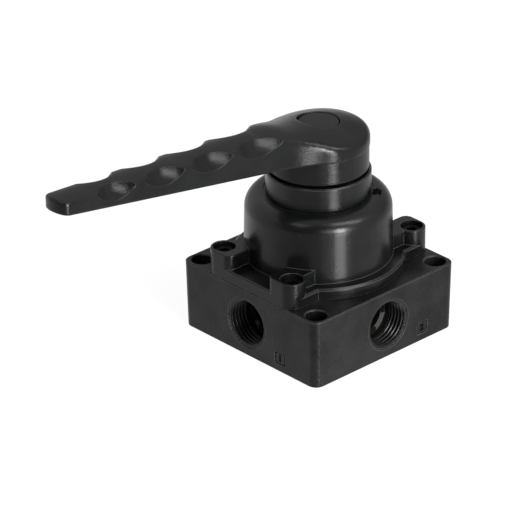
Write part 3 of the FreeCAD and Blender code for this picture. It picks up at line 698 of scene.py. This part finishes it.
# Near-black matte finish with almost no reflection: painted shade, on the beds in the number pads' grooves
# and on the raised numbers
PAINTED_SHADE_BLACK = Finish(
    "painted_shade_black", colour=(0.001, 0.001, 0.001), pale=(0.0016, 0.0016, 0.0016), roughness=0.8, specular=0.05
)
BLACK_OXIDE = Finish(
    "black_oxide", colour=(0.0025, 0.0025, 0.0028), pale=(0.005, 0.005, 0.0055), roughness=0.4, specular=0.08
)
SPRING_WIRE = Finish(
    "spring_wire", colour=(0.42, 0.42, 0.43), pale=(0.5, 0.5, 0.5), roughness=0.3, metallic=1.0
)
GROUND_STEEL = Finish(
    "ground_steel",
    colour=(0.5, 0.5, 0.51),
    pale=(0.58, 0.58, 0.58),
    roughness=0.25,
    texture=Texture.TURNED,
    metallic=1.0,
    spread=0.3,
)
SINTERED_BRONZE = Finish(
    "sintered_bronze",
    colour=(0.45, 0.29, 0.12),
    pale=(0.52, 0.36, 0.17),
    roughness=0.45,
    metallic=1.0,
    grain_depth=0.02 * MM,
)
ACETAL = Finish("acetal", colour=(0.6, 0.58, 0.52), pale=(0.66, 0.64, 0.58), roughness=0.4)
WASHER_PLASTIC = Finish(
    "washer_plastic", colour=(0.72, 0.71, 0.67), pale=(0.78, 0.77, 0.73), roughness=0.45
)
NITRILE = Finish(
    "nitrile", colour=(0.014, 0.014, 0.014), pale=(0.022, 0.022, 0.022), roughness=0.6, grain_depth=0.02 * MM
)

NODE_FINISHES: dict[str, Finish] = {
    "valve_body": BODY_PAINT,
    "bonnet": BONNET_PAINT,
    "bonnet_o_ring": NITRILE,
    "bonnet_screws": BLACK_OXIDE,
    "screw_spring_washers": SPRING_WIRE,
    "spindle_bush": SINTERED_BRONZE,
    "neck_collar": TURNED_BLACK,
    "stop_pin": GROUND_STEEL,
    "lever": LEVER_PAINT,
    "lever_screw": BLACK_OXIDE,
    "lever_screw_washer": SPRING_WIRE,
    "lever_cap": CAP_PLASTIC,
    "spindle": GROUND_STEEL,
    "spindle_o_ring": NITRILE,
    "spindle_circlip": SPRING_WIRE,
    "thrust_washer": WASHER_PLASTIC,
    "rotor_disc": ACETAL,
    "rotor_spring": SPRING_WIRE,
    "detent_spring_left": SPRING_WIRE,
    "detent_spring_right": SPRING_WIRE,
    "detent_ball_left": GROUND_STEEL,
    "detent_ball_right": GROUND_STEEL,
}


class Wardrobe:
    """Materials of the valve, each built once."""

    def __init__(self) -> None:
        """Starts with the node groups and no material."""
        self.effects = Effects()
        self.made: dict[str, bpy.types.Material] = {}

    def material(self, finish: Finish) -> bpy.types.Material:
        """Gives the material of a finish, and builds it the first time.

        Args:
            finish: The finish.

        Returns:
            The material.
        """
        if finish.name not in self.made:
            self.made[finish.name] = finish.build(self.effects)
        return self.made[finish.name]

    def dress(self, piece: bpy.types.Object, finish: Finish) -> None:
        """Puts a finish on all of a piece.

        Args:
            piece: The piece.
            finish: The finish.
        """
        material = self.material(finish)
        if not piece.material_slots:
            piece.data.materials.append(material)
        for place in piece.material_slots:
            place.material = material

    def fit(self, piece: bpy.types.Object, finish: Finish) -> None:
        """Puts a finish on a piece of the scene's own, which stays on the housing.

        Args:
            piece: The piece.
            finish: The finish.
        """
        self.dress(piece, finish)
        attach(piece, "housing")


# Threads and seats of the ports

def port_place(side: Side) -> Matrix:
    """Puts what is modelled round +Z on a port, with +Z out of it and +Y up, from the valve's own axis."""
    shift = Matrix.Translation((side.port_offset(), 0, PORT_HEIGHT))
    return side.turn() @ shift @ TOWARDS_FRONT


def in_each_port(first: bpy.types.Object, finish: Finish, wardrobe: Wardrobe) -> list[bpy.types.Object]:
    """Puts a copy of a piece in each port, and removes the first one.

    Args:
        first: The piece, modelled round +Z, which points out of the port.
        finish: The finish of the copies.
        wardrobe: Where the finishes come from.

    Returns:
        The four copies.
    """
    copies = []
    for side in Side:
        copy = copied(first, f"{first.name}_{side.name.lower()}")
        settle(copy, port_place(side))
        wardrobe.fit(copy, finish)
        copies.append(copy)
    bpy.data.objects.remove(first)
    return copies


@dataclass
class PortThread:
    """Ridge of the pipe thread in each port, sizes in metres and degrees."""

    wall_radius: float = PORT_WALL_RADIUS
    crest_radius: float = PORT_BORE_RADIUS
    pitch: float = 1.814 * MM
    root_width: float = 1.62 * MM
    crest_width: float = 0.34 * MM
    crest_rounding: float = 0.12 * MM
    rounding_segments: int = 2
    inner_end: float = PORT_THREAD_END
    outer_end: float = 38.95 * MM
    turns_before_end: float = 1.5
    turns: int = 7
    steps: int = 60
    crisp_angle: float = 50.0

    def section(self) -> bpy.types.Object:
        """Models the outline of the ridge's section, where the winding starts.

        Returns:
            The outline.
        """
        deselect_all()
        middle = (self.wall_radius + self.crest_radius) / 2
        start = self.inner_end - self.turns_before_end * self.pitch
        bpy.ops.mesh.primitive_plane_add(size=1, location=(middle, 0, start), rotation=(math.pi / 2, 0, 0))
        piece = bpy.context.object
        piece.name = "port_thread"
        piece.scale = (self.wall_radius - self.crest_radius, self.root_width, 1)
        settle(piece, Matrix.Identity(4))
        choose(piece, Element.CORNER, lambda corner: corner.co.x < middle)
        narrowing = (1, 1, self.crest_width / self.root_width)
        bpy.ops.transform.resize(value=narrowing, center_override=(middle, 0, start))
        bpy.ops.mesh.bevel(offset=self.crest_rounding, segments=self.rounding_segments, affect="VERTICES")
        bpy.ops.mesh.select_all(action="SELECT")
        bpy.ops.mesh.delete(type="ONLY_FACE")
        bpy.ops.object.mode_set(mode="OBJECT")
        return piece

    def ridge(self) -> bpy.types.Object:
        """Winds the section round +Z, and cuts both ends flat.

        Returns:
            The ridge of one port.
        """
        piece = self.section()
        screw = piece.modifiers.new("thread", "SCREW")
        screw.axis = "Z"
        screw.steps = self.steps
        screw.render_steps = self.steps
        screw.iterations = self.turns
        screw.screw_offset = self.pitch
        bpy.ops.object.modifier_apply(modifier=screw.name)
        bpy.ops.object.mode_set(mode="EDIT")
        bpy.ops.mesh.select_all(action="SELECT")
        bpy.ops.mesh.remove_doubles(threshold=MERGE_DISTANCE)
        for height, outside in ((self.inner_end, False), (self.outer_end, True)):
            bpy.ops.mesh.select_all(action="SELECT")
            bpy.ops.mesh.bisect(
                plane_co=(0, 0, height),
                plane_no=(0, 0, 1),
                use_fill=True,
                clear_outer=outside,
                clear_inner=not outside,
                threshold=CUT_TOLERANCE,
            )
        bpy.ops.mesh.select_all(action="SELECT")
        bpy.ops.mesh.normals_make_consistent(inside=False)
        bpy.ops.object.mode_set(mode="OBJECT")
        smooth_by_angle(piece, self.crisp_angle)
        return piece

    def build(self, wardrobe: Wardrobe) -> list[bpy.types.Object]:
        """Puts a ridge in each port.

        Args:
            wardrobe: Where the finishes come from.

        Returns:
            The four ridges.
        """
        return in_each_port(self.ridge(), THREAD_BLACK, wardrobe)


@dataclass
class PortSeat:
    """Smooth stepped end of each port behind its thread, sizes in metres and degrees.

    It is painted, apart from a small unpainted patch on its floor, which is also painted light where light
    falls in through the mouth. The patch lies below level, on the side away from the middle of the face,
    between two angles for ports to the right and for ports to the left.
    """

    wall_radius: float = PORT_WALL_RADIUS
    bore_radius: float = PORT_BORE_RADIUS
    feed_radius: float = 6.8 * MM
    mouth: float = PORT_THREAD_END
    floor: float = 28.2 * MM
    bottom: float = 25.02 * MM
    sides: int = 72
    seam: float = 0.01 * MM
    crisp_angle: float = 30.0
    # Where the patch of unpainted metal and painted light lies, in degrees below level, for ports to the
    # right and to the left
    bare_and_lit_right: tuple[float, float] = (12.0, 62.0)
    bare_and_lit_left: tuple[float, float] = (38.0, 56.0)
    floor_tolerance: float = 0.1 * MM

    def seat(self) -> bpy.types.Object:
        """Models the stepped ring of one port, with its axis on +Z.

        Returns:
            The ring.
        """
        deselect_all()
        bpy.ops.mesh.primitive_cylinder_add(
            vertices=self.sides,
            radius=self.wall_radius,
            depth=self.mouth - self.bottom,
            location=(0, 0, (self.mouth + self.bottom) / 2),
        )
        piece = bpy.context.object
        piece.name = "port_seat"
        settle(piece, Matrix.Identity(4))
        choose(piece, Element.FACE, lambda face: face.normal.z > FACING)
        bpy.ops.mesh.inset(thickness=self.wall_radius - self.bore_radius)
        bpy.ops.mesh.extrude_region_move(TRANSFORM_OT_translate={"value": (0, 0, self.floor - self.mouth)})
        bpy.ops.mesh.inset(thickness=self.bore_radius - self.feed_radius)
        bpy.ops.mesh.extrude_region_move(TRANSFORM_OT_translate={"value": (0, 0, self.bottom - self.floor)})
        bpy.ops.mesh.delete(type="FACE")
        choose(piece, Element.FACE, lambda face: face.normal.z < -FACING)
        bpy.ops.mesh.inset(thickness=self.wall_radius - self.feed_radius)
        bpy.ops.mesh.delete(type="FACE")
        close_seams(self.seam)
        bpy.ops.object.mode_set(mode="OBJECT")
        smooth_by_angle(piece, self.crisp_angle)
        return piece

    def bare_and_paint_light(self, ring: bpy.types.Object, side: Side, wardrobe: Wardrobe) -> None:
        """Leaves the patch on a ring's floor without paint, as painted light where light falls in through
        the mouth.

        Args:
            ring: The ring, in its place in a port.
            side: The face of its port.
            wardrobe: Where the finishes come from.
        """
        # Unpainted metal on the lit part of the floor: painted light
        ring.data.materials.append(wardrobe.material(BARE_SEAT_AND_PAINTED_LIGHT))
        back = port_place(side).inverted()
        rightward = side.port_offset() > 0
        start, end = self.bare_and_lit_right if rightward else self.bare_and_lit_left
        for face in ring.data.polygons:
            centre = back @ face.center
            low = -math.degrees(math.atan2(centre.y, centre.x if rightward else -centre.x))
            on_floor = abs(centre.z - self.floor) < self.floor_tolerance
            if start < low < end and on_floor:
                face.material_index = 1

    def build(self, wardrobe: Wardrobe) -> list[bpy.types.Object]:
        """Puts a ring in each port.

        Args:
            wardrobe: Where the finishes come from.

        Returns:
            The four rings.
        """
        rings = in_each_port(self.seat(), THREAD_BLACK, wardrobe)
        for side, ring in zip(Side, rings):
            self.bare_and_paint_light(ring, side, wardrobe)
        return rings


# Numbers

@dataclass
class RaisedNumber:
    """A plain number that stands up from a face, sizes in metres.

    Its figures are a fixed share of the letter size, and a little bolder than the plain ones.
    """

    name: str
    words: str
    height: float
    relief: float
    depth: float = 0.1 * MM
    figure_share: float = 0.7
    boldness: float = 0.03
    curve_steps: int = 4

    def build(self, place: Matrix, wardrobe: Wardrobe) -> bpy.types.Object:
        """Models the number and sets it on its face.

        Args:
            place: Puts the number's plane, with its face towards +Z, on the piece.
            wardrobe: Where the finishes come from.

        Returns:
            The number.
        """
        deselect_all()
        bpy.ops.object.text_add()
        words = bpy.context.object
        words.data.body = self.words
        words.data.size = self.height / self.figure_share
        words.data.align_x = "CENTER"
        words.data.align_y = "CENTER"
        words.data.extrude = (self.relief + self.depth) / 2
        words.data.offset = self.boldness * self.height
        words.data.resolution_u = self.curve_steps
        pick(words)
        bpy.ops.object.convert(target="MESH")
        piece = bpy.context.object
        piece.name = self.name
        piece.data.name = self.name
        bpy.ops.object.mode_set(mode="EDIT")
        close_seams(MERGE_DISTANCE)
        bpy.ops.object.mode_set(mode="OBJECT")
        lift = Matrix.Translation((0, 0, (self.relief - self.depth) / 2))
        settle(piece, place @ lift)
        # The number is left almost without reflection so that it shows dark: painted shade
        wardrobe.fit(piece, PAINTED_SHADE_BLACK)
        return piece


@dataclass
class SwingScale:
    """Numbers on the dome for the lever's three places, behind the collar, sizes in metres and degrees."""

    radius: float = 23.9 * MM
    step: float = 49.0
    tilt: float = 6.0
    number_height: float = 3.5 * MM
    relief: float = 0.4 * MM
    depth: float = 0.6 * MM

    def build(self, wardrobe: Wardrobe) -> list[bpy.types.Object]:
        """Sets the numbers round the dome's top.

        Args:
            wardrobe: Where the finishes come from.

        Returns:
            The numbers.
        """
        made = []
        out = Matrix.Translation((0, self.radius, DOME_TOP))
        lean = Matrix.Rotation(math.radians(-self.tilt), 4, "X")
        for name, words, steps in (("right", "45", -1), ("middle", "0", 0), ("left", "45", 1)):
            number = RaisedNumber(f"scale_{name}", words, self.number_height, self.relief, self.depth)
            around = Matrix.Rotation(math.radians(steps * self.step), 4, "Z")
            made.append(number.build(around @ out @ lean, wardrobe))
        return made


@dataclass
class PortNumbers:
    """Plain numbers of the ports, in the shallow pads beside them, sizes in metres."""

    from_port: float = 19.8 * MM
    height_up: float = 5.8 * MM
    pad_floor: float = 39.2 * MM
    plate_width: float = 4.7 * MM
    plate_height: float = 4.2 * MM
    plate_relief: float = 0.2 * MM
    bed_width: float = 5.9 * MM
    bed_height: float = 5.4 * MM
    bed_relief: float = 0.04 * MM
    corner: float = 0.4 * MM
    corner_segments: int = 4
    number_height: float = 3.1 * MM
    number_relief: float = 0.12 * MM

    def plate(self, name: str, width: float, height: float, relief: float) -> bpy.types.Object:
        """Models a small plate with round corners, with its face towards +Z and its foot at zero.

        Args:
            name: The plate's name.
            width: Its size along X.
            height: Its size along Y.
            relief: Its thickness.

        Returns:
            The plate.
        """
        deselect_all()
        bpy.ops.mesh.primitive_cube_add(size=1, location=(0, 0, relief / 2))
        piece = bpy.context.object
        piece.name = name
        piece.scale = (width, height, relief)
        settle(piece, Matrix.Identity(4))
        heights = [corner.co.z for corner in piece.data.vertices]

        def upright(edge: bpy.types.MeshEdge) -> bool:
            """Tells the four corner edges from those round the faces."""
            first, second = (heights[index] for index in edge.vertices)
            return abs(first - second) > relief / 2

        choose(piece, Element.EDGE, upright)
        bpy.ops.mesh.bevel(offset=self.corner, segments=self.corner_segments, affect="EDGES")
        bpy.ops.object.mode_set(mode="OBJECT")
        return piece

    def build(self, wardrobe: Wardrobe) -> list[bpy.types.Object]:
        """Sets a bed of painted shade in each pad, and on it a plate with its number.

        Args:
            wardrobe: Where the finishes come from.

        Returns:
            The beds, the plates and the numbers.
        """
        made = []
        # The bed is a thin dark sheet of painted shade, showing round the plate in the pad's groove
        bed = self.plate("number_shade_bed", self.bed_width, self.bed_height, self.bed_relief)
        plate = self.plate("number_plate", self.plate_width, self.plate_height, self.plate_relief)
        lift = Matrix.Translation((0, 0, self.plate_relief))
        for side in Side:
            across = side.port_offset() + self.from_port
            on_pad = Matrix.Translation((across, -self.pad_floor, self.height_up))
            place = side.turn() @ on_pad @ TOWARDS_FRONT
            for first, finish in ((bed, PAINTED_SHADE_BLACK), (plate, BODY_PAINT)):
                piece = copied(first, f"{first.name}_{side.name.lower()}")
                settle(piece, place)
                wardrobe.fit(piece, finish)
                made.append(piece)
            name = f"port_number_{side.name.lower()}"
            number = RaisedNumber(name, str(side.value + 1), self.number_height, self.number_relief)
            made.append(number.build(place @ lift, wardrobe))
        bpy.data.objects.remove(bed)
        bpy.data.objects.remove(plate)
        return made


# Floor, light and camera

def direction(azimuth: float, elevation: float) -> Vector:
    """Works out the unit vector that two angles give.

    Args:
        azimuth: Degrees about the vertical axis, from +X towards +Y.
        elevation: Degrees above level.

    Returns:
        The vector.
    """
    around = math.radians(azimuth)
    above = math.radians(elevation)
    flat = math.cos(above)
    return Vector((flat * math.cos(around), flat * math.sin(around), math.sin(above)))


def glow(tree: bpy.types.NodeTree, strength: float) -> bpy.types.NodeSocket:
    """Adds a white glow of one strength.

    Args:
        tree: The node tree.
        strength: The strength, where 1 shows as white.

    Returns:
        The shader socket.
    """
    node = tree.nodes.new("ShaderNodeEmission")
    node.inputs["Strength"].default_value = strength
    return node.outputs["Emission"]


@dataclass(frozen=True)
class DimPatch:
    """Part of the sky that is darker in reflections, angles in degrees."""

    azimuth: float
    elevation: float
    inner_angle: float
    outer_angle: float
    strength: float

    def share(self, tree: bpy.types.NodeTree, way: bpy.types.NodeSocket) -> bpy.types.NodeSocket:
        """Works out how much light is left in a direction.

        Args:
            tree: The world's node tree.
            way: The socket with the direction.

        Returns:
            The socket with the share, from the patch's strength to 1.
        """
        nearness = vector_maths(tree, "DOT_PRODUCT", way, direction(self.azimuth, self.elevation))
        outer = math.cos(math.radians(self.outer_angle))
        inner = math.cos(math.radians(self.inner_angle))
        fade = map_range(tree, nearness.outputs["Value"], outer, inner)
        fade.interpolation_type = "SMOOTHSTEP"
        fade.inputs["To Min"].default_value = 1.0
        fade.inputs["To Max"].default_value = self.strength
        return fade.outputs["Result"]


@dataclass
class Studio:
    """Plain white floor and sky, sizes in metres."""

    floor_half_side: float = 6.0
    floor_colour: Colour = (0.8, 0.8, 0.8)
    seen_glow: float = 1.12
    shadow_share: float = 0.2
    gloss_glow: float = 0.95
    polish_share: float = 0.5
    polish_roughness: float = 0.1
    sky_strength: float = 0.5
    gloss_strength: float = 0.85
    photographer_side: DimPatch = DimPatch(
        azimuth=-60.0, elevation=18.0, inner_angle=30.0, outer_angle=62.0, strength=0.15
    )
    far_side: DimPatch = DimPatch(
        azimuth=115.0, elevation=-25.0, inner_angle=45.0, outer_angle=75.0, strength=0.42
    )

    def build_floor(self) -> bpy.types.Object:
        """Makes the floor, white to the eye, with the object's shadow on it.

        Returns:
            The floor.
        """
        deselect_all()
        bpy.ops.mesh.primitive_plane_add(size=2 * self.floor_half_side, location=(0, 0, 0))
        floor = bpy.context.object
        floor.name = "floor"
        material = bpy.data.materials.new("floor_white")
        material.use_nodes = True
        tree = material.node_tree
        shader = tree.nodes["Principled BSDF"]
        shader.inputs["Base Color"].default_value = opaque(self.floor_colour)
        shader.inputs["Roughness"].default_value = 1.0
        shader.inputs["Specular IOR Level"].default_value = 0.0
        paths = tree.nodes.new("ShaderNodeLightPath")
        polish = tree.nodes.new("ShaderNodeBsdfGlossy")
        polish.inputs["Roughness"].default_value = self.polish_roughness
        direct = maths(tree, "MAXIMUM", paths.outputs["Is Camera Ray"], paths.outputs["Is Transmission Ray"])
        lit = maths(tree, "MULTIPLY", direct, 1 - self.shadow_share)
        shown = self.mixed(tree, lit, shader.outputs["BSDF"], glow(tree, self.seen_glow))
        sheen = self.mixed(tree, self.polish_share, glow(tree, self.gloss_glow), polish.outputs["BSDF"])
        surface = self.mixed(tree, paths.outputs["Is Glossy Ray"], shown, sheen)
        tree.links.new(surface, tree.nodes["Material Output"].inputs["Surface"])
        floor.data.materials.append(material)
        return floor

    @staticmethod
    def mixed(
        tree: bpy.types.NodeTree, share: Feed, first: bpy.types.NodeSocket, second: bpy.types.NodeSocket
    ) -> bpy.types.NodeSocket:
        """Mixes two shaders.

        Args:
            tree: The node tree.
            share: The share of the second shader, a socket or a number.
            first: The first shader.
            second: The second shader.

        Returns:
            The socket of the mixed shader.
        """
        mix = tree.nodes.new("ShaderNodeMixShader")
        for slot, value in zip(mix.inputs, (share, first, second)):
            feed(tree, slot, value)
        return mix.outputs["Shader"]

    def build_sky(self) -> None:
        """Makes the world: white to the eye, soft for the light, dimmer in gloss on two sides."""
        world = bpy.data.worlds.new("studio")
        bpy.context.scene.world = world
        world.use_nodes = True
        tree = world.node_tree
        sky = tree.nodes["Background"]
        sky.inputs["Color"].default_value = opaque(WHITE)
        way = tree.nodes.new("ShaderNodeTexCoord").outputs["Generated"]
        near = self.photographer_side.share(tree, way)
        dimmed = maths(tree, "MULTIPLY", near, self.far_side.share(tree, way))
        paths = tree.nodes.new("ShaderNodeLightPath")
        mirrored = maths(tree, "MULTIPLY", paths.outputs["Is Glossy Ray"], self.gloss_strength)
        gloss = maths(tree, "MULTIPLY", mirrored, dimmed)
        seen = maths(tree, "MAXIMUM", paths.outputs["Is Camera Ray"], paths.outputs["Is Transmission Ray"])
        light = maths(tree, "MULTIPLY", paths.outputs["Is Diffuse Ray"], self.sky_strength)
        bright = maths(tree, "MAXIMUM", seen, gloss)
        tree.links.new(maths(tree, "MAXIMUM", bright, light), sky.inputs["Strength"])


@dataclass
class Lamp:
    """A softbox that looks at the valve, sizes in metres, degrees and watts."""

    name: str
    azimuth: float
    elevation: float
    distance: float
    width: float
    height: float
    power: float
    roll: float = 0.0
    aim: tuple[float, float, float] = (0.0, -0.02, 0.05)

    def build(self) -> bpy.types.Object:
        """Adds the softbox.

        Returns:
            The lamp.
        """
        deselect_all()
        back = direction(self.azimuth, self.elevation)
        bpy.ops.object.light_add(type="AREA", location=Vector(self.aim) + back * self.distance)
        lamp = bpy.context.object
        lamp.name = self.name
        lamp.rotation_mode = "QUATERNION"
        upright = (-back).to_track_quat("-Z", "Y")
        lamp.rotation_quaternion = upright @ Quaternion((0, 0, 1), math.radians(self.roll))
        lamp.data.shape = "RECTANGLE"
        lamp.data.size = self.width
        lamp.data.size_y = self.height
        lamp.data.energy = self.power
        return lamp


LAMPS = (
    Lamp("strip_right", azimuth=-10.0, elevation=12.0, distance=1.6, width=0.42, height=0.64, power=28.0),
    Lamp("soft_front", azimuth=-29.0, elevation=15.0, distance=1.6, width=0.5, height=0.6, power=2.0),
    Lamp(
        "key_high", azimuth=16.0, elevation=49.0, distance=1.8, width=1.2, height=0.5, power=12.5, roll=-42.0
    ),
    Lamp("left_high", azimuth=-85.0, elevation=52.0, distance=1.8, width=0.8, height=0.6, power=3.0),
)


@dataclass
class PhotoCamera:
    """Camera at the photograph's viewing angle, worked out from the body's edges."""

    place: tuple[float, float, float] = (1.02272, -0.98317, 0.76993)
    target: tuple[float, float, float] = (-0.01752, -0.01890, 0.03214)
    roll: float = 0.560
    lens: float = 272.376
    sensor: float = 36.0
    nearest: float = 0.05
    farthest: float = 50.0

    def build(self) -> bpy.types.Object:
        """Adds the camera and makes it the scene's own.

        Returns:
            The camera.
        """
        deselect_all()
        bpy.ops.object.camera_add(location=self.place)
        camera = bpy.context.object
        looking = (Vector(self.target) - Vector(self.place)).to_track_quat("-Z", "Y")
        camera.rotation_mode = "QUATERNION"
        camera.rotation_quaternion = looking @ Quaternion((0, 0, 1), -math.radians(self.roll))
        camera.data.lens = self.lens
        camera.data.sensor_width = self.sensor
        camera.data.dof.use_dof = False
        camera.data.clip_start = self.nearest
        camera.data.clip_end = self.farthest
        bpy.context.scene.camera = camera
        return camera


def main() -> None:
    """Builds the finishes, the pieces and the studio around the CAD frame."""
    logging.basicConfig(level=logging.INFO, format="%(name)s: %(message)s")
    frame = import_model()
    bpy.context.scene.view_settings.view_transform = "Standard"
    wardrobe = Wardrobe()
    for name, node in frame["nodes"].items():
        wardrobe.dress(node, NODE_FINISHES[name])
    LOG.info("dressed %d nodes", len(frame["nodes"]))
    for assembly in (PortThread(), PortSeat(), PortNumbers(), SwingScale()):
        for piece in assembly.build(wardrobe):
            LOG.info("%s: %d faces", piece.name, len(piece.data.polygons))
    studio = Studio()
    LOG.info("%s", studio.build_floor().name)
    studio.build_sky()
    for lamp in LAMPS:
        LOG.info("%s", lamp.build().name)
    LOG.info("%s", PhotoCamera().build().name)


if __name__ == "__main__":
    main()
